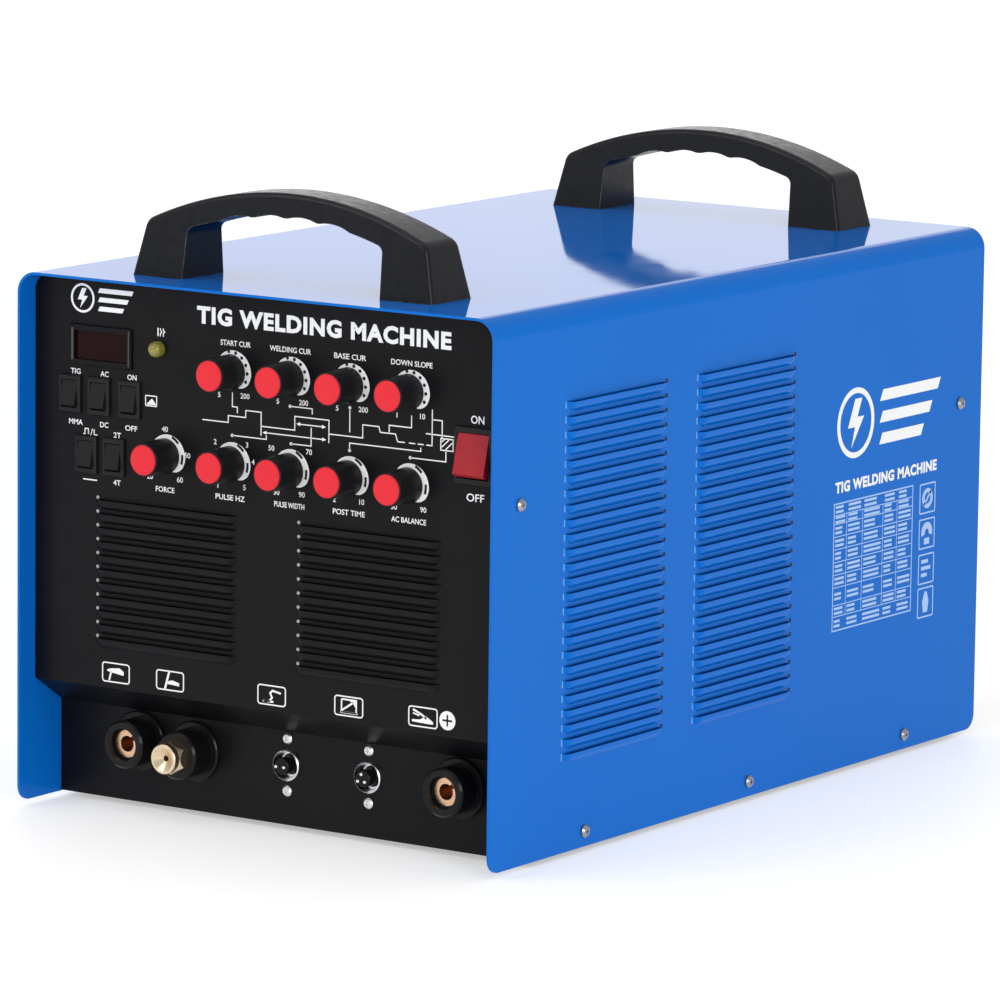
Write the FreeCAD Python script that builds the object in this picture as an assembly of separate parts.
import FreeCAD, Part
import math
import os

V = FreeCAD.Vector

# All sizes in mm. While modelling, x is across the machine, y runs back from the
# front edge of the cover and z up from its lower edge. save() then moves every
# sub-part so that the origin is at the bottom centre of the whole machine.

# Sheet-metal case
CASE_W = 320.0
CASE_D = 514.0
CASE_H = 300.0
SHEET = 1.5
FOLD_R = 12.0
CORNER_R = 9.0
GAP = 0.3
INNER_X = CASE_W / 2 - SHEET - GAP
INNER_TOP = CASE_H - SHEET - GAP
FLOOR_Z = 0.5
FLANGE_D = 22.0

# Front panel: upper face, bend and lower face
FACE_Y = 14.0
LOWER_Y = 38.0
BEND_TOP_Z = 68.8
BEND_LOW_Z = 53.2
REAR_Y = 500.0

# Pressed louvres: the slot is along the top of each hood
LOUVRE_R = 6.4
LOUVRE_OUT = 3.0
LOUVRE_WALL = 1.0
SIDE_LOUVRES = 25
SIDE_PITCH = 8.05
SIDE_LOUVRE_Z = 248.0
SIDE_BLOCKS = ((70.0, 98.0), (201.5, 100.5))
FRONT_LOUVRES = 11
FRONT_PITCH = 7.8
FRONT_LOUVRE_Z = 174.5
FRONT_BLOCKS = ((-115.5, 97.0), (22.0, 95.5))

# Screws
COVER_SCREWS = ((25.8, 197.7), (92.5, 8.7), (260.9, 8.7), (432.0, 8.7), (489.0, 198.5))
M4_R = 1.95
M4_HOLE_R = 2.0
CLEAR_HOLE_R = 2.3
M6_R = 2.95
M6_HOLE_R = 3.0

# Handles
HANDLE_Y = (46.0, 463.5)
HANDLE_H = 52.0
HANDLE_HALF = 101.0
HANDLE_INNER = 66.5
HANDLE_DEPTH = 38.5
HANDLE_TOP_DEPTH = 25.0
SHOULDER_H = 31.0
GRIP_T = 13.5
GAP_SHOULDER_H = 28.0
FINGER_R = 30.0
FINGER_PITCH = 19.0
FINGER_SINK = 1.3
HANDLE_SCREW_X = 83.0

# Feet
FOOT_H = 3.0
FOOT_R = 13.0
FOOT_X = 113.0
FOOT_Y = (62.0, 452.0)

# Control knobs on potentiometers
DIAL_X = (-68.0, -23.5, 16.0, 55.5, 95.0)
TOP_DIAL_Z = 254.0
LOW_DIAL_Z = 203.3
KNOB_H = 20.6
KNOB_R = 9.9
CAP_R = 8.5
CAP_DEPTH = 1.2
SPINDLE_R = 2.7
BUSH_R = 3.5
RUN_CLEAR = 0.3
POINTER_ANGLE = 140.0

# Display, indicator
DISPLAY_X = -111.8
DISPLAY_Z = 260.3
DISPLAY_W = 42.0
DISPLAY_H = 22.5
WINDOW_W = 36.4
WINDOW_H = 16.4
LED_X = -72.7
LED_Z = 262.4
LED_R = 4.5

# Rocker switches: x, z of the bezel centre
SMALL_SWITCHES = (
    (-133.4, 232.3),
    (-113.4, 232.3),
    (-92.2, 232.3),
    (-122.1, 199.1),
    (-102.9, 199.1),
)
POWER_SWITCH = (138.7, 223.5)
ROCKER_TILT = 12.0
POWER_TILT = 14.0

# Output sockets and torch connector
SOCKET_L = (-101.4, 36.0)
SOCKET_R = (115.0, 36.0)
TORCH = (-63.8, 34.5)
BOSS_R = 13.6
FLANGE_R = 17.0
FLANGE_T = 3.0
SOCKET_FRONT_Y = 20.0
INSERT_R = 7.8
PLUG_BORE_R = 4.5
PLUG_DEPTH = 24.0
TORCH_BOSS_Y = 18.8
TORCH_TIP_Y = 7.5
TORCH_NOSE_R = 8.4
TORCH_HEX = 17.4
AVIATION = ((-0.3, 34.5), (54.6, 34.5))
AVIATION_PINS = (2, 3)
AVIATION_FIRST_PIN = (90.0, 0.0)
AVIATION_R = 8.9
AVIATION_SCREW_DZ = 14.7

# Rear panel fittings
FAN_Z = 172.0
FAN_SIZE = 120.0
FAN_DEPTH = 25.0
FAN_BORE_R = 57.5
FAN_HUB_R = 25.0
FAN_SCREW = 52.5
BLADES = 7
GUARD_WIRE = 1.1
GLAND = (-108.0, 40.0)
GLAND_TIP_Y = 526.0
GAS = (108.0, 40.0)
GAS_TIP_Y = 532.0

CAP_FACE_Y = FACE_Y - KNOB_H
Y_MID = (CAP_FACE_Y + GAS_TIP_Y) / 2


def box(x0, x1, y0, y1, z0, z1):
    return Part.makeBox(x1 - x0, y1 - y0, z1 - z0, V(x0, y0, z0))


def rod_x(radius, x0, x1, y, z):
    return Part.makeCylinder(radius, x1 - x0, V(x0, y, z), V(1, 0, 0))


def rod_y(radius, x, y0, y1, z):
    return Part.makeCylinder(radius, y1 - y0, V(x, y0, z), V(0, 1, 0))


def rod_z(radius, x, y, z0, z1):
    return Part.makeCylinder(radius, z1 - z0, V(x, y, z0))


def hex_y(across, x, y0, y1, z):
    """Hexagonal prism along y, one corner up."""
    radius = across / math.sqrt(3)
    corners = []
    for k in range(7):
        angle = math.radians(60 * k)
        corners.append(V(x + radius * math.sin(angle), y0, z + radius * math.cos(angle)))
    return Part.Face(Part.makePolygon(corners)).extrude(V(0, y1 - y0, 0))


def prism_x(points, x0, x1):
    """Prism along x from (y, z) points."""
    corners = [V(x0, y, z) for y, z in points + points[:1]]
    return Part.Face(Part.makePolygon(corners)).extrude(V(x1 - x0, 0, 0))


def turned_y(points, x, z):
    """Body turned about the y direction at x, z from (radius, y) points."""
    corners = [V(radius, y, 0) for radius, y in points + points[:1]]
    body = Part.Face(Part.makePolygon(corners)).revolve(V(0, 0, 0), V(0, 1, 0), 360)
    body.translate(V(x, 0, z))
    return body


def turned_z(points, x, y):
    """Body turned about the z direction at x, y from (radius, z) points."""
    corners = [V(radius, 0, z) for radius, z in points + points[:1]]
    body = Part.Face(Part.makePolygon(corners)).revolve(V(0, 0, 0), V(0, 0, 1), 360)
    body.translate(V(x, y, 0))
    return body


def join(first, *others):
    return first.fuse(list(others)).removeSplitter()


def group(shapes):
    return Part.makeCompound(shapes)


def mirrored(shape):
    return shape.mirror(V(0, 0, 0), V(1, 0, 0))


def aimed(shape, direction, at):
    """Copy of a shape built on +z, turned to a direction and moved to a point."""
    placed = shape.copy()
    placed.Placement = FreeCAD.Placement(at, FreeCAD.Rotation(V(0, 0, 1), direction))
    return placed


def pan_screw(head_r, head_h, shank_r, length):
    """Cross-recess screw: head above z = 0, shank below it."""
    head = turned_z([(0, 0), (head_r, 0), (head_r, head_h * 0.45), (head_r * 0.72, head_h * 0.9),
                     (head_r * 0.35, head_h), (0, head_h)], 0, 0)
    arm = head_r * 0.5
    slot = 0.35
    recess = head_h * 0.45
    cross = box(-arm, arm, -slot, slot, recess, head_h + 1).fuse(
        box(-slot, slot, -arm, arm, recess, head_h + 1))
    return join(head.cut(cross), rod_z(shank_r, 0, 0, -length, 0))


def folded(half, top, radius, z0):
    """Long block with its two upper long edges rounded."""
    block = box(-half, half, 0, CASE_D, z0, top)
    folds = [e for e in block.Edges if all(abs(v.Z - top) < 0.01 for v in e.Vertexes)
             and abs(e.Vertexes[0].Y - e.Vertexes[-1].Y) > 1]
    return block.makeFillet(radius, folds)


def capsule(radius, start, end, y):
    """Round bar along x with domed ends."""
    mid = radius * math.sqrt(0.5)
    outline = [
        Part.Arc(V(start - radius, y, 0), V(start - mid, y - mid, 0), V(start, y - radius, 0)).toShape(),
        Part.makeLine(V(start, y - radius, 0), V(end, y - radius, 0)),
        Part.Arc(V(end, y - radius, 0), V(end + mid, y - mid, 0), V(end + radius, y, 0)).toShape(),
        Part.makeLine(V(end + radius, y, 0), V(start - radius, y, 0)),
    ]
    return Part.Face(Part.Wire(outline)).revolve(V(0, y, 0), V(1, 0, 0), 360)


def louvre(length):
    """Pressed hood and the slot behind it, for a sheet with its outer face on y = 0."""
    centre_y = LOUVRE_R - LOUVRE_OUT
    run = math.sqrt(LOUVRE_R ** 2 - centre_y ** 2)
    outer = capsule(LOUVRE_R, run, length - run, centre_y)
    inner = capsule(LOUVRE_R - LOUVRE_WALL, run, length - run, centre_y)
    keep = box(-LOUVRE_R, length + LOUVRE_R, -LOUVRE_OUT - 1, SHEET, -LOUVRE_R - 1, 0)
    void = inner.common(box(-LOUVRE_R, length + LOUVRE_R, -LOUVRE_OUT - 1, SHEET + 1, -LOUVRE_R - 1, 0))
    return outer.common(keep).cut(void), void


def louvre_block(length, count, pitch):
    """Column of hoods and slots, the first one at z = 0."""
    hood, void = louvre(length)
    hoods = []
    voids = []
    for k in range(count):
        hoods.append(hood.translated(V(0, 0, -k * pitch)))
        voids.append(void.translated(V(0, 0, -k * pitch)))
    return hoods, voids


def cover():
    shell = folded(CASE_W / 2, CASE_H, FOLD_R, 0).cut(
        folded(CASE_W / 2 - SHEET, CASE_H - SHEET, FOLD_R - SHEET, -1))
    tools = []
    for y, centre_y in ((0, CORNER_R), (CASE_D, CASE_D - CORNER_R)):
        corner = box(-CASE_W, CASE_W, min(y, centre_y), max(y, centre_y), 0, CORNER_R)
        tools.append(corner.cut(rod_x(CORNER_R, -CASE_W, CASE_W, centre_y, CORNER_R)))
    for y, z in COVER_SCREWS:
        tools.append(rod_x(CLEAR_HOLE_R, -CASE_W, CASE_W, y, z))
    for y in HANDLE_Y:
        for x in (-HANDLE_SCREW_X, HANDLE_SCREW_X):
            tools.append(rod_z(M6_HOLE_R + 0.3, x, y, CASE_H - 5, CASE_H + 5))
    shell = shell.cut(tools)
    hoods = []
    voids = []
    for y, length in SIDE_BLOCKS:
        for kind, shapes in zip((hoods, voids), louvre_block(length, SIDE_LOUVRES, SIDE_PITCH)):
            for shape in shapes:
                shape.rotate(V(0, 0, 0), V(0, 0, 1), 90)
                shape.translate(V(CASE_W / 2, y, SIDE_LOUVRE_Z))
                kind += [shape, mirrored(shape)]
    return shell.cut(voids).fuse(hoods)


def side_flanges(y0, y1, z0, z1):
    right = box(INNER_X - SHEET, INNER_X, y0, y1, z0, z1)
    return [right, mirrored(right)]


def screw_holes(which):
    return [rod_x(M4_HOLE_R, -CASE_W, CASE_W, *COVER_SCREWS[k]) for k in which]


def front_panel():
    slope = math.hypot(LOWER_Y - FACE_Y, BEND_TOP_Z - BEND_LOW_Z)
    rise = SHEET * (slope - (BEND_TOP_Z - BEND_LOW_Z)) / (LOWER_Y - FACE_Y)
    profile = [
        (FACE_Y, CASE_H), (FACE_Y, BEND_TOP_Z), (LOWER_Y, BEND_LOW_Z), (LOWER_Y, FLOOR_Z),
        (LOWER_Y + SHEET, FLOOR_Z), (LOWER_Y + SHEET, BEND_LOW_Z + rise),
        (FACE_Y + SHEET, BEND_TOP_Z + rise), (FACE_Y + SHEET, CASE_H),
    ]
    panel = prism_x(profile, -CASE_W, CASE_W).common(
        folded(INNER_X, INNER_TOP, FOLD_R - SHEET - GAP, FLOOR_Z))
    panel = join(panel, *side_flanges(FACE_Y, FACE_Y + FLANGE_D, 75, 286))
    tools = screw_holes((0,))
    behind = LOWER_Y + SHEET + 1
    for x, z in dials():
        tools.append(rod_y(BUSH_R + 0.1, x, FACE_Y - 1, FACE_Y + 5, z))
    for x, z in SMALL_SWITCHES:
        tools.append(box(x - 6.7, x + 6.7, FACE_Y - 1, FACE_Y + 5, z - 9.7, z + 9.7))
    x, z = POWER_SWITCH
    tools.append(box(x - 11.2, x + 11.2, FACE_Y - 1, FACE_Y + 5, z - 14.2, z + 14.2))
    tools.append(box(DISPLAY_X - 20.1, DISPLAY_X + 20.1, FACE_Y - 1, FACE_Y + 5,
                     DISPLAY_Z - 10.1, DISPLAY_Z + 10.1))
    tools.append(rod_y(LED_R - 0.4, LED_X, FACE_Y - 1, FACE_Y + 5, LED_Z))
    for x, z in (SOCKET_L, SOCKET_R, TORCH):
        tools.append(rod_y(11.1, x, LOWER_Y - 1, behind, z))
    for x, z in AVIATION:
        tools.append(rod_y(7.6, x, LOWER_Y - 1, behind, z))
        for dz in (-AVIATION_SCREW_DZ, AVIATION_SCREW_DZ):
            tools.append(rod_y(1.6, x, LOWER_Y - 1, behind, z + dz))
    hoods = []
    for x, length in FRONT_BLOCKS:
        block, voids = louvre_block(length, FRONT_LOUVRES, FRONT_PITCH)
        for shape in block + voids:
            shape.translate(V(x, FACE_Y, FRONT_LOUVRE_Z))
        hoods += block
        tools += voids
    return panel.cut(tools).fuse(hoods)


def rear_panel():
    panel = box(-CASE_W, CASE_W, REAR_Y - SHEET, REAR_Y, FLOOR_Z, CASE_H).common(
        folded(INNER_X, INNER_TOP, FOLD_R - SHEET - GAP, FLOOR_Z))
    panel = join(panel, *side_flanges(REAR_Y - FLANGE_D, REAR_Y, 24, 286))
    tools = screw_holes((4,))
    tools.append(rod_y(FAN_BORE_R, 0, REAR_Y - 5, REAR_Y + 5, FAN_Z))
    tools.append(rod_y(10.1, GLAND[0], REAR_Y - 5, REAR_Y + 5, GLAND[1]))
    tools.append(rod_y(6.1, GAS[0], REAR_Y - 5, REAR_Y + 5, GAS[1]))
    for x, z in fan_corners():
        tools.append(rod_y(CLEAR_HOLE_R, x, REAR_Y - 5, REAR_Y + 5, z))
    return panel.cut(tools)


def base_tray():
    front = LOWER_Y + SHEET + GAP
    rear = REAR_Y - SHEET - GAP
    floor = box(-INNER_X, INNER_X, front, rear, FLOOR_Z, FLOOR_Z + SHEET)
    tray = join(
        floor,
        box(-145, 145, front, front + SHEET, FLOOR_Z, 12),
        box(-95, 95, rear - SHEET, rear, FLOOR_Z, 16),
        *side_flanges(60, REAR_Y - FLANGE_D - 2, FLOOR_Z, 18))
    tools = screw_holes((1, 2, 3))
    for x, y in feet_places():
        tools.append(rod_z(4.1, x, y, -1, 5))
    return tray.cut(tools)


def feet_places():
    return [(x, y) for y in FOOT_Y for x in (-FOOT_X, FOOT_X)]


def feet():
    """Push-in rubber feet: pad under the tray, stem through it, bead above."""
    bottom = -FOOT_H
    top = FLOOR_Z + SHEET
    outline = [(0, bottom), (FOOT_R - 2.5, bottom), (FOOT_R - 1.5, bottom + 1), (FOOT_R, FLOOR_Z),
               (3.9, FLOOR_Z), (3.9, top), (5.2, top), (3.6, top + 4), (0, top + 4)]
    return group([turned_z(outline, x, y) for x, y in feet_places()])


def handle(y):
    """Arched carrying handle with finger grooves under the grip."""
    base = CASE_H
    shoulder_x = HANDLE_HALF - 7
    shoulder_z = base + SHOULDER_H
    grip_low = base + HANDLE_H - GRIP_T
    inner_x = HANDLE_INNER - 1
    gap_top = base + GAP_SHOULDER_H
    back = y + HANDLE_DEPTH
    outer = Part.Wire([
        Part.makeLine(V(-HANDLE_HALF, back, base), V(-shoulder_x, back, shoulder_z)),
        Part.Arc(V(-shoulder_x, back, shoulder_z), V(0, back, base + HANDLE_H),
                 V(shoulder_x, back, shoulder_z)).toShape(),
        Part.makeLine(V(shoulder_x, back, shoulder_z), V(HANDLE_HALF, back, base)),
        Part.makeLine(V(HANDLE_HALF, back, base), V(-HANDLE_HALF, back, base)),
    ])
    body = Part.Face(outer).extrude(V(0, -2 * HANDLE_DEPTH, 0))
    shoulders = [e for e in body.Edges if all(abs(v.Z - shoulder_z) < 0.01 for v in e.Vertexes)
                 and abs(e.Vertexes[0].X - e.Vertexes[-1].X) < 0.01]
    body = body.makeFillet(8, shoulders)
    side = [(y - HANDLE_DEPTH / 2, base), (y + HANDLE_DEPTH / 2, base),
            (y + HANDLE_TOP_DEPTH / 2, base + HANDLE_H + 1),
            (y - HANDLE_TOP_DEPTH / 2, base + HANDLE_H + 1)]
    body = body.common(prism_x(side, -HANDLE_HALF - 5, HANDLE_HALF + 5))
    rounded = [e for e in body.Edges if min(v.Z for v in e.Vertexes) > base + 0.5
               or abs(e.Vertexes[0].Z - e.Vertexes[-1].Z) > 20]
    body = body.makeFillet(2.6, rounded)
    opening = Part.Wire([
        Part.makeLine(V(-HANDLE_INNER, back, base - 1), V(-inner_x, back, gap_top)),
        Part.Arc(V(-inner_x, back, gap_top), V(0, back, grip_low),
                 V(inner_x, back, gap_top)).toShape(),
        Part.makeLine(V(inner_x, back, gap_top), V(HANDLE_INNER, back, base - 1)),
        Part.makeLine(V(HANDLE_INNER, back, base - 1), V(-HANDLE_INNER, back, base - 1)),
    ])
    gap = Part.Face(opening).extrude(V(0, -2 * HANDLE_DEPTH, 0))
    corners = [e for e in gap.Edges if all(abs(v.Z - gap_top) < 0.01 for v in e.Vertexes)
               and abs(e.Vertexes[0].X - e.Vertexes[-1].X) < 0.01]
    gap = gap.makeFillet(5, corners)
    grooves = []
    for k in (-1.5, -0.5, 0.5, 1.5):
        x = k * FINGER_PITCH
        under = grip_low - (x / inner_x) ** 2 * (grip_low - gap_top)
        grooves.append(rod_y(FINGER_R, x, y - HANDLE_DEPTH, back, under + FINGER_SINK - FINGER_R))
    for x in (-HANDLE_SCREW_X, HANDLE_SCREW_X):
        grooves.append(rod_z(M6_HOLE_R, x, y, base - 1, base + 18))
    return body.cut([gap] + grooves)


def handle_screws():
    screw = pan_screw(5.0, 3.0, M6_R, 17)
    places = [V(x, y, CASE_H - SHEET) for y in HANDLE_Y for x in (-HANDLE_SCREW_X, HANDLE_SCREW_X)]
    return group([aimed(screw, V(0, 0, -1), at) for at in places])


def cover_screws():
    screw = pan_screw(3.6, 2.4, M4_R, 8)
    screws = []
    for y, z in COVER_SCREWS:
        screws.append(aimed(screw, V(1, 0, 0), V(CASE_W / 2, y, z)))
        screws.append(aimed(screw, V(-1, 0, 0), V(-CASE_W / 2, y, z)))
    return group(screws)


def dials():
    """Dial centres: four in the upper row, five in the lower row."""
    return [(x, TOP_DIAL_Z) for x in DIAL_X[1:]] + [(x, LOW_DIAL_Z) for x in DIAL_X]


def knob(x, z):
    """Hollow knob, one piece with its spindle, with a pointer rib at the low end of the scale."""
    rim = CAP_FACE_Y + 0.8
    floor = rim + CAP_DEPTH
    skirt = FACE_Y - 0.6
    outline = [
        (0, floor), (CAP_R, floor), (CAP_R, rim), (CAP_R + 0.5, rim), (CAP_R + 0.8, rim + 0.4),
        (KNOB_R, skirt), (KNOB_R - 1.3, skirt), (KNOB_R - 1.6, 0.5), (4.6, 0.5), (4.6, 9.0),
        (SPINDLE_R, 9.0), (SPINDLE_R, FACE_Y + 8), (0, FACE_Y + 8),
    ]
    pointer = box(-0.45, 0.45, rim + 6, skirt, KNOB_R - 1, KNOB_R + 0.45)
    pointer.rotate(V(0, 0, 0), V(0, 1, 0), -POINTER_ANGLE)
    pointer.translate(V(x, 0, z))
    return join(turned_y(outline, x, z), pointer)


def knob_cap(x, z):
    floor = CAP_FACE_Y + 0.8 + CAP_DEPTH
    radius = CAP_R - 0.05
    outline = [(0, floor), (radius, floor), (radius, CAP_FACE_Y + 0.5), (radius - 0.5, CAP_FACE_Y + 0.1),
               (radius - 2, CAP_FACE_Y), (0, CAP_FACE_Y)]
    return turned_y(outline, x, z)


def rocker(place, half_w, radius, face, pivot_y, tilt, pin_r):
    """Rocker on two pivot pins, its upper end pressed in."""
    x, z = place
    body = rod_x(radius, x - half_w, x + half_w, pivot_y, z)
    body = body.common(box(x - half_w, x + half_w, pivot_y - face, pivot_y + 2.5, z - radius, z + radius))
    body = join(body, rod_x(pin_r, x - half_w - 0.9, x + half_w + 0.9, pivot_y, z))
    body.rotate(V(x, pivot_y, z), V(1, 0, 0), -tilt)
    return body


def rocker_housing(place, bezel, neck, pocket_w, pocket_r, depth, bezel_t, pin_r):
    """Bezel in front of the panel, neck through it, pocket and pivot holes for the rocker."""
    x, z = place
    pivot_y = FACE_Y + 0.5
    front = FACE_Y - bezel_t
    frame = box(x - bezel[0] / 2, x + bezel[0] / 2, front, FACE_Y, z - bezel[1] / 2, z + bezel[1] / 2)
    rim = [e for e in frame.Edges if all(abs(v.Y - front) < 0.01 for v in e.Vertexes)]
    frame = frame.makeChamfer(0.6, rim)
    body = join(frame, box(x - neck[0] / 2, x + neck[0] / 2, FACE_Y, FACE_Y + depth,
                           z - neck[1] / 2, z + neck[1] / 2))
    pocket = box(x - pocket_w, x + pocket_w, front - 1, FACE_Y + depth - 2, z - pocket_r, z + pocket_r)
    pins = rod_x(pin_r + RUN_CLEAR, x - pocket_w - 0.8, x + pocket_w + 0.8, pivot_y, z)
    return body.cut([pocket, pins])


def switch_bodies():
    return group([rocker_housing(place, (15, 21), (13.2, 19.2), 5.4, 7.9, 14, 2.0, 1.0)
                  for place in SMALL_SWITCHES])


def small_rocker(place):
    return rocker(place, 5.1, 7.6, 3.2, FACE_Y + 0.5, ROCKER_TILT, 1.0)


def power_switch_body():
    return rocker_housing(POWER_SWITCH, (25, 31), (22.2, 28.2), 10.3, 12.5, 24, 2.5, 1.2)


def power_rocker():
    return rocker(POWER_SWITCH, 10.0, 12.2, 5.0, FACE_Y + 0.5, POWER_TILT, 1.2)


def display_module():
    """Meter housing: frame in front of the panel, body behind it, ledge for the window."""
    x, z = DISPLAY_X, DISPLAY_Z
    front = FACE_Y - 1.8
    frame = box(x - DISPLAY_W / 2, x + DISPLAY_W / 2, front, FACE_Y, z - DISPLAY_H / 2, z + DISPLAY_H / 2)
    rim = [e for e in frame.Edges if all(abs(v.Y - front) < 0.01 for v in e.Vertexes)]
    frame = frame.makeChamfer(0.5, rim)
    body = join(frame, box(x - 20, x + 20, FACE_Y, FACE_Y + 20, z - 10, z + 10))
    window = box(x - WINDOW_W / 2, x + WINDOW_W / 2, front - 1, FACE_Y + 1.5,
                 z - WINDOW_H / 2, z + WINDOW_H / 2)
    well = box(x - 16.5, x + 16.5, front, FACE_Y + 8, z - 6.5, z + 6.5)
    return body.cut([window, well])


def display_lens():
    x, z = DISPLAY_X, DISPLAY_Z
    half_w = WINDOW_W / 2 - 0.05
    half_h = WINDOW_H / 2 - 0.05
    return box(x - half_w, x + half_w, FACE_Y, FACE_Y + 1.5, z - half_h, z + half_h)


def indicator_led():
    """Domed lens with a collar on the panel and a body through it."""
    dome = Part.makeSphere(LED_R, V(LED_X, FACE_Y - 2.2, LED_Z)).common(
        box(LED_X - 10, LED_X + 10, FACE_Y - 10, FACE_Y - 2.2, LED_Z - 10, LED_Z + 10))
    return join(
        dome,
        rod_y(LED_R, LED_X, FACE_Y - 2.2, FACE_Y, LED_Z),
        rod_y(LED_R - 0.5, LED_X, FACE_Y, FACE_Y + 7, LED_Z))


def socket_housing(place):
    """Insulating housing of an output socket: flange, boss and neck through the panel."""
    x, z = place
    front = SOCKET_FRONT_Y
    flange_y = LOWER_Y - FLANGE_T
    outline = [
        (INSERT_R + 0.05, front + 4.5), (INSERT_R + 1.4, front + 4.5), (INSERT_R + 1.4, front),
        (BOSS_R - 1.2, front), (BOSS_R, front + 1.2), (BOSS_R, flange_y), (FLANGE_R - 0.8, flange_y),
        (FLANGE_R, flange_y + 0.8), (FLANGE_R, LOWER_Y), (11.0, LOWER_Y), (11.0, LOWER_Y + 12),
        (INSERT_R + 0.05, LOWER_Y + 12),
    ]
    return turned_y(outline, x, z)


def socket_insert(place):
    """Brass insert: plug bore with a keyway, hexagon and terminal at the back."""
    x, z = place
    front = SOCKET_FRONT_Y + 4.5
    back = LOWER_Y + 12
    body = join(
        rod_y(INSERT_R, x, front, back, z),
        hex_y(15.5, x, back, back + 8, z),
        rod_y(4.0, x, back + 8, back + 22, z))
    bore = rod_y(PLUG_BORE_R, x, front - 1, front + PLUG_DEPTH, z)
    keyway = box(x - 1.3, x + 1.3, front - 1, front + 9, z, z + PLUG_BORE_R + 1.4)
    keyway.rotate(V(x, 0, z), V(0, 1, 0), 50)
    return body.cut([bore, keyway])


def torch_boss():
    """Insulating boss that carries the torch fitting."""
    x, z = TORCH
    flange_y = LOWER_Y - FLANGE_T
    outline = [
        (5.05, TORCH_BOSS_Y), (BOSS_R - 1.2, TORCH_BOSS_Y), (BOSS_R, TORCH_BOSS_Y + 1.2),
        (BOSS_R, flange_y), (FLANGE_R - 0.8, flange_y), (FLANGE_R, flange_y + 0.8),
        (FLANGE_R, LOWER_Y), (11.0, LOWER_Y), (11.0, LOWER_Y + 12), (5.05, LOWER_Y + 12),
    ]
    return turned_y(outline, x, z)


def torch_fitting():
    """Brass fitting: round nose with a conical seat, hexagon, shank and gas passage."""
    x, z = TORCH
    tip = TORCH_TIP_Y
    back = LOWER_Y + 12
    nose_r = TORCH_NOSE_R
    nose = turned_y([(0, tip), (nose_r - 0.5, tip), (nose_r, tip + 0.5), (nose_r, tip + 4), (0, tip + 4)],
                    x, z)
    shoulder = turned_y([(0, tip + 4), (nose_r, tip + 4), (10.2, tip + 8), (10.2, TORCH_BOSS_Y),
                         (0, TORCH_BOSS_Y)], x, z)
    hexagon = hex_y(TORCH_HEX, x, tip + 4, TORCH_BOSS_Y, z).common(shoulder)
    body = join(
        nose,
        hexagon,
        rod_y(5.0, x, TORCH_BOSS_Y, back, z),
        hex_y(14, x, back, back + 6, z),
        rod_y(4.0, x, back + 6, back + 20, z))
    seat = turned_y([(0, tip - 1), (7.6, tip - 1), (6.9, tip), (1.6, tip + 3), (0, tip + 3)], x, z)
    return body.cut([seat, rod_y(1.6, x, tip, back + 25, z)])


def aviation_shells():
    """Round metal panel sockets: rim, chrome cup and neck through the panel."""
    shells = []
    for x, z in AVIATION:
        outline = [
            (6.0, LOWER_Y + 9), (6.0, LOWER_Y + 3), (6.6, LOWER_Y + 3), (8.0, LOWER_Y - 2.4),
            (8.3, LOWER_Y - 2.8), (AVIATION_R, LOWER_Y - 2.2), (AVIATION_R, LOWER_Y), (7.5, LOWER_Y),
            (7.5, LOWER_Y + 9),
        ]
        shells.append(turned_y(outline, x, z))
    return group(shells)


def aviation_inserts():
    """Insulating cores of the two sockets, each with its contact pins."""
    front = LOWER_Y - 6.4
    outline = [(0, front), (4.4, front), (4.8, front + 0.4), (4.8, LOWER_Y + 3), (5.95, LOWER_Y + 3),
               (5.95, LOWER_Y + 10), (0, LOWER_Y + 10)]
    cores = []
    for (x, z), count, first in zip(AVIATION, AVIATION_PINS, AVIATION_FIRST_PIN):
        pins = []
        for j in range(count):
            angle = math.radians(first) + 2 * math.pi * j / count
            pins.append(rod_y(0.9, x + 2.7 * math.sin(angle), front - 0.8, LOWER_Y + 15,
                              z + 2.7 * math.cos(angle)))
        cores.append(join(turned_y(outline, x, z), *pins))
    return group(cores)


def aviation_screws():
    screw = pan_screw(3.1, 1.9, 1.5, 6)
    screws = []
    for x, z in AVIATION:
        for dz in (-AVIATION_SCREW_DZ, AVIATION_SCREW_DZ):
            screws.append(aimed(screw, V(0, -1, 0), V(x, LOWER_Y, z + dz)))
    return group(screws)


def fan_corners():
    return [(sx * FAN_SCREW, FAN_Z + sz * FAN_SCREW) for sx in (-1, 1) for sz in (-1, 1)]


def fan_frame():
    """Square fan frame with the motor carrier on four struts at its inner side."""
    back = REAR_Y - SHEET
    front = back - FAN_DEPTH
    half = FAN_SIZE / 2
    frame = box(-half, half, front, back, FAN_Z - half, FAN_Z + half)
    frame = frame.makeFillet(6, [e for e in frame.Edges if abs(e.Vertexes[0].Y - e.Vertexes[-1].Y) > 1])
    tools = [rod_y(FAN_BORE_R, 0, front - 1, back + 1, FAN_Z)]
    for x, z in fan_corners():
        tools.append(rod_y(M4_HOLE_R, x, front - 1, back + 1, z))
    struts = [rod_y(23, 0, front, front + 4, FAN_Z)]
    for angle in (45, 135, 225, 315):
        strut = box(-2.5, 2.5, front, front + 4, FAN_Z, FAN_Z + FAN_BORE_R + 2)
        strut.rotate(V(0, 0, FAN_Z), V(0, 1, 0), angle)
        struts.append(strut)
    return join(frame.cut(tools), *struts)


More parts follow.
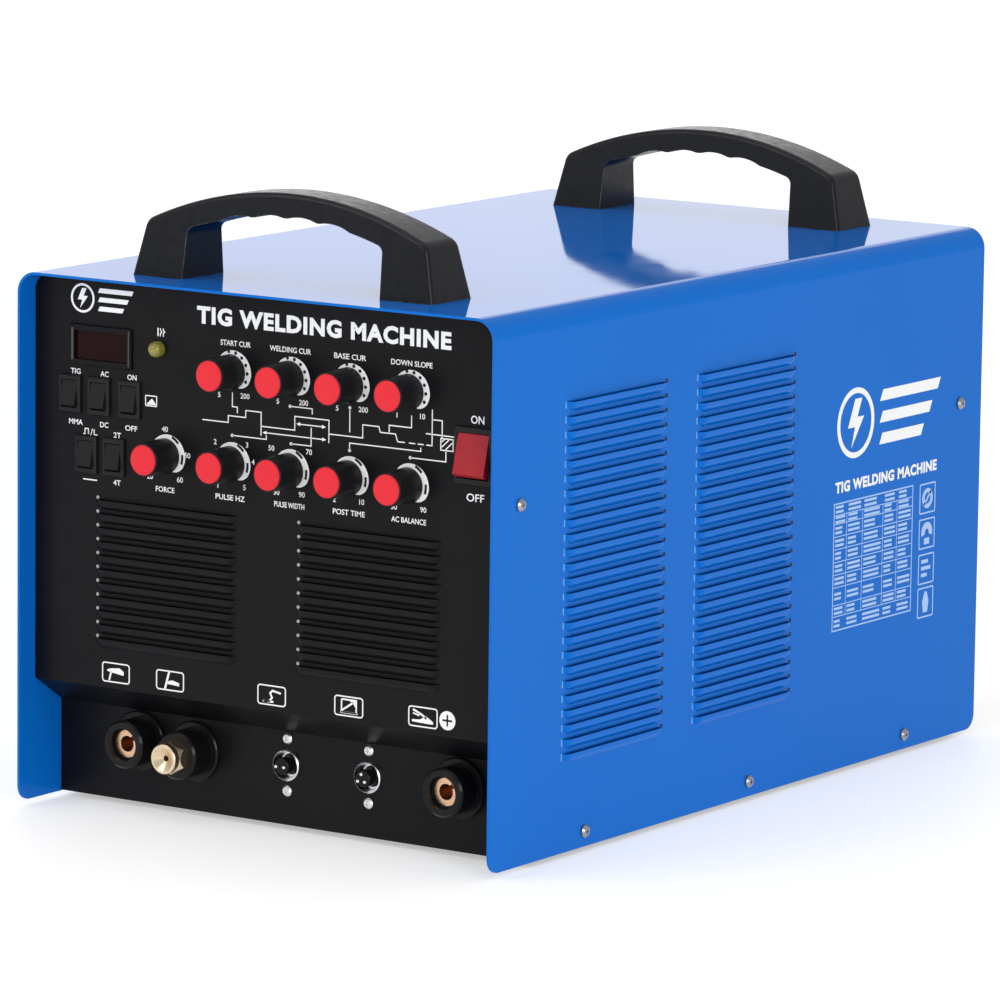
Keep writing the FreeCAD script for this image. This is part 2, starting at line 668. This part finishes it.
def fan_rotor():
    """Hub with pitched blades, clear of the frame all round."""
    front = REAR_Y - SHEET - FAN_DEPTH + 5.5
    back = REAR_Y - SHEET - 2
    tip_r = FAN_BORE_R - 1.2
    hub = rod_y(FAN_HUB_R, 0, front, back, FAN_Z)
    sweep = rod_y(tip_r, 0, front, back, FAN_Z)
    blades = []
    for k in range(BLADES):
        blade = box(-13, 13, -1, 1, FAN_HUB_R - 4, tip_r + 5)
        blade.rotate(V(0, 0, 0), V(0, 0, 1), 32)
        blade.translate(V(0, (front + back) / 2, 0))
        blade.rotate(V(0, 0, 0), V(0, 1, 0), 360 * k / BLADES)
        blade.translate(V(0, 0, FAN_Z))
        blades.append(blade.common(sweep))
    return join(hub, *blades)


def fan_guard():
    """Wire guard: centre plate, four rings, four spokes and an eyelet at each spoke's end."""
    ring_y = REAR_Y + GUARD_WIRE + 0.4
    spoke_y = ring_y + 1.3
    rings = []
    for k in range(4):
        rings.append(Part.makeTorus(20 + 11 * k, GUARD_WIRE, V(0, ring_y, FAN_Z), V(0, 1, 0)))
    reach = FAN_SCREW * math.sqrt(2) - 4.6
    spokes = []
    for angle in (45, 135, 225, 315):
        spoke = rod_z(GUARD_WIRE - 0.1, 0, spoke_y, FAN_Z + 6, FAN_Z + reach)
        spoke.rotate(V(0, 0, FAN_Z), V(0, 1, 0), angle)
        spokes.append(spoke)
    eyes = [rod_y(5, x, REAR_Y, REAR_Y + 2.5, z) for x, z in fan_corners()]
    holes = [rod_y(CLEAR_HOLE_R, x, REAR_Y - 1, REAR_Y + 8, z) for x, z in fan_corners()]
    plate = rod_y(9.5, 0, ring_y, ring_y + 2.2, FAN_Z)
    return join(plate, *rings, *spokes, *eyes).cut(holes)


def fan_screws():
    screw = pan_screw(3.8, 2.4, M4_R, 22)
    return group([aimed(screw, V(0, 1, 0), V(x, REAR_Y + 2.5, z)) for x, z in fan_corners()])


def cable_gland():
    """Empty mains cable gland: thread and nut inside, hexagon and dome nut outside."""
    x, z = GLAND
    inside = REAR_Y - SHEET
    dome = turned_y([(0, REAR_Y + 5), (12, REAR_Y + 5), (12, REAR_Y + 16), (8.5, GLAND_TIP_Y),
                     (0, GLAND_TIP_Y)], x, z)
    body = join(
        hex_y(27, x, REAR_Y, REAR_Y + 5, z),
        dome,
        rod_y(10.0, x, inside - 10, REAR_Y, z),
        hex_y(27, x, inside - 5, inside, z))
    return body.cut(rod_y(5.5, x, inside - 12, GLAND_TIP_Y + 1, z))


def gas_inlet():
    """Brass hose barb with a hexagon, its shank screwed into the solenoid valve."""
    x, z = GAS
    outline = [(0, REAR_Y - 12), (5.95, REAR_Y - 12), (5.95, REAR_Y), (5.0, REAR_Y), (5.0, REAR_Y + 8)]
    y = REAR_Y + 8
    while y < GAS_TIP_Y - 5:
        outline += [(5.4, y), (4.3, y + 5.5)]
        y += 5.5
    outline += [(4.3, GAS_TIP_Y), (0, GAS_TIP_Y)]
    body = join(turned_y(outline, x, z), hex_y(16, x, REAR_Y, REAR_Y + 6, z))
    return body.cut(rod_y(2.5, x, REAR_Y - 15, GAS_TIP_Y + 1, z))


def gas_valve():
    """Solenoid valve: brass block on the gas inlet with its coil on top."""
    x, z = GAS
    inside = REAR_Y - SHEET
    block = box(x - 16, x + 16, inside - 30, inside, z - 14, z + 14)
    coil = box(x - 14, x + 14, inside - 29, inside - 1, z + 14, z + 48)
    coil = coil.makeFillet(4, [e for e in coil.Edges if abs(e.Vertexes[0].Z - e.Vertexes[-1].Z) > 1])
    outlet = rod_y(5, x, inside - 45, inside - 30, z)
    tools = [rod_y(6.0, x, REAR_Y - 12, REAR_Y, z), rod_y(2.5, x, inside - 46, REAR_Y, z)]
    return join(block, coil, outlet).cut(tools)


def transformer_core():
    core = box(-112, -12, 150, 215, FLOOR_Z + SHEET, 64)
    windows = [box(-100, -79, 140, 225, 15, 51), box(-45, -24, 140, 225, 15, 51)]
    return core.cut(windows)


def transformer_coil():
    coil = box(-99, -25, 138, 227, 16, 50)
    coil = coil.makeFillet(9, [e for e in coil.Edges if abs(e.Vertexes[0].Z - e.Vertexes[-1].Z) > 1])
    return coil.cut(box(-79.3, -44.7, 149.7, 215.3, 10, 60))


def heat_sink():
    """Extruded heat sink standing on the tray, fins down."""
    base = box(10, 136, 120, 430, 52, 60)
    fins = [box(x, x + 3, 120, 430, FLOOR_Z + SHEET, 52) for x in range(10, 134, 12)]
    return join(base, box(133, 136, 120, 430, FLOOR_Z + SHEET, 52), *fins)


def power_board():
    """Power board above the heat sink: transistors below, two posts down to the tray."""
    board = box(-140, 140, 112, 440, 66, 67.8)
    packages = [box(x, x + 16, y, y + 22, 60, 66) for x in (30, 100) for y in (140, 210, 280, 350)]
    posts = [rod_z(4, -132, y, FLOOR_Z + SHEET, 66) for y in (122, 430)]
    blocks = [box(-60, -20, 300, 345, 67.8, 100), box(60, 110, 150, 190, 67.8, 92)]
    return join(board, *packages, *posts, *blocks)


def bulk_capacitors():
    places = ((-110, 180), (-110, 225), (-110, 270), (-68, 200))
    return group([rod_z(17.5, x, y, 67.8, 117.8) for x, y in places])


def control_board():
    """Board with nine potentiometers soldered on: case behind the panel, bushing and nut through it."""
    back = FACE_Y + 10.6
    pieces = [
        box(-50, -20, back + 1.6, back + 5, 222, 236),
        box(20, 44, back + 1.6, back + 5, 220, 244),
        box(60, 100, back + 1.6, back + 12, 222, 234),
    ]
    bores = []
    for x, z in dials():
        pieces.append(rod_y(8.5, x, FACE_Y + SHEET, back, z))
        pieces.append(rod_y(BUSH_R, x, FACE_Y - 3.5, FACE_Y + 3, z))
        pieces.append(hex_y(10, x, FACE_Y - 2, FACE_Y, z))
        bores.append(rod_y(SPINDLE_R + RUN_CLEAR, x, FACE_Y - 5, FACE_Y + 8.5, z))
    return join(box(-84, 112, back, back + 1.6, 186, 268), *pieces).cut(bores)


def save(name, shape):
    moved = shape.copy()
    moved.translate(V(0, -Y_MID, FOOT_H))
    moved.exportStep(os.path.join("parts", name + ".step"))


def build():
    parts = {
        "cover": cover(),
        "front_panel": front_panel(),
        "rear_panel": rear_panel(),
        "base_tray": base_tray(),
        "feet": feet(),
        "handle_front": handle(HANDLE_Y[0]),
        "handle_rear": handle(HANDLE_Y[1]),
        "handle_screws": handle_screws(),
        "cover_screws": cover_screws(),
        "switch_bodies": switch_bodies(),
        "power_switch_body": power_switch_body(),
        "power_rocker": power_rocker(),
        "display_module": display_module(),
        "display_lens": display_lens(),
        "indicator_led": indicator_led(),
        "socket_left_housing": socket_housing(SOCKET_L),
        "socket_left_insert": socket_insert(SOCKET_L),
        "socket_right_housing": socket_housing(SOCKET_R),
        "socket_right_insert": socket_insert(SOCKET_R),
        "torch_boss": torch_boss(),
        "torch_fitting": torch_fitting(),
        "aviation_shells": aviation_shells(),
        "aviation_inserts": aviation_inserts(),
        "aviation_screws": aviation_screws(),
        "fan_frame": fan_frame(),
        "fan_rotor": fan_rotor(),
        "fan_guard": fan_guard(),
        "fan_screws": fan_screws(),
        "cable_gland": cable_gland(),
        "gas_inlet": gas_inlet(),
        "gas_valve": gas_valve(),
        "transformer_core": transformer_core(),
        "transformer_coil": transformer_coil(),
        "heat_sink": heat_sink(),
        "power_board": power_board(),
        "bulk_capacitors": bulk_capacitors(),
        "control_board": control_board(),
    }
    for number, place in enumerate(dials(), 1):
        parts[f"knob_{number}"] = knob(*place)
        parts[f"knob_cap_{number}"] = knob_cap(*place)
    for number, place in enumerate(SMALL_SWITCHES, 1):
        parts[f"rocker_{number}"] = small_rocker(place)
    return parts


os.makedirs("parts", exist_ok=True)
for part_name, part_shape in build().items():
    save(part_name, part_shape)
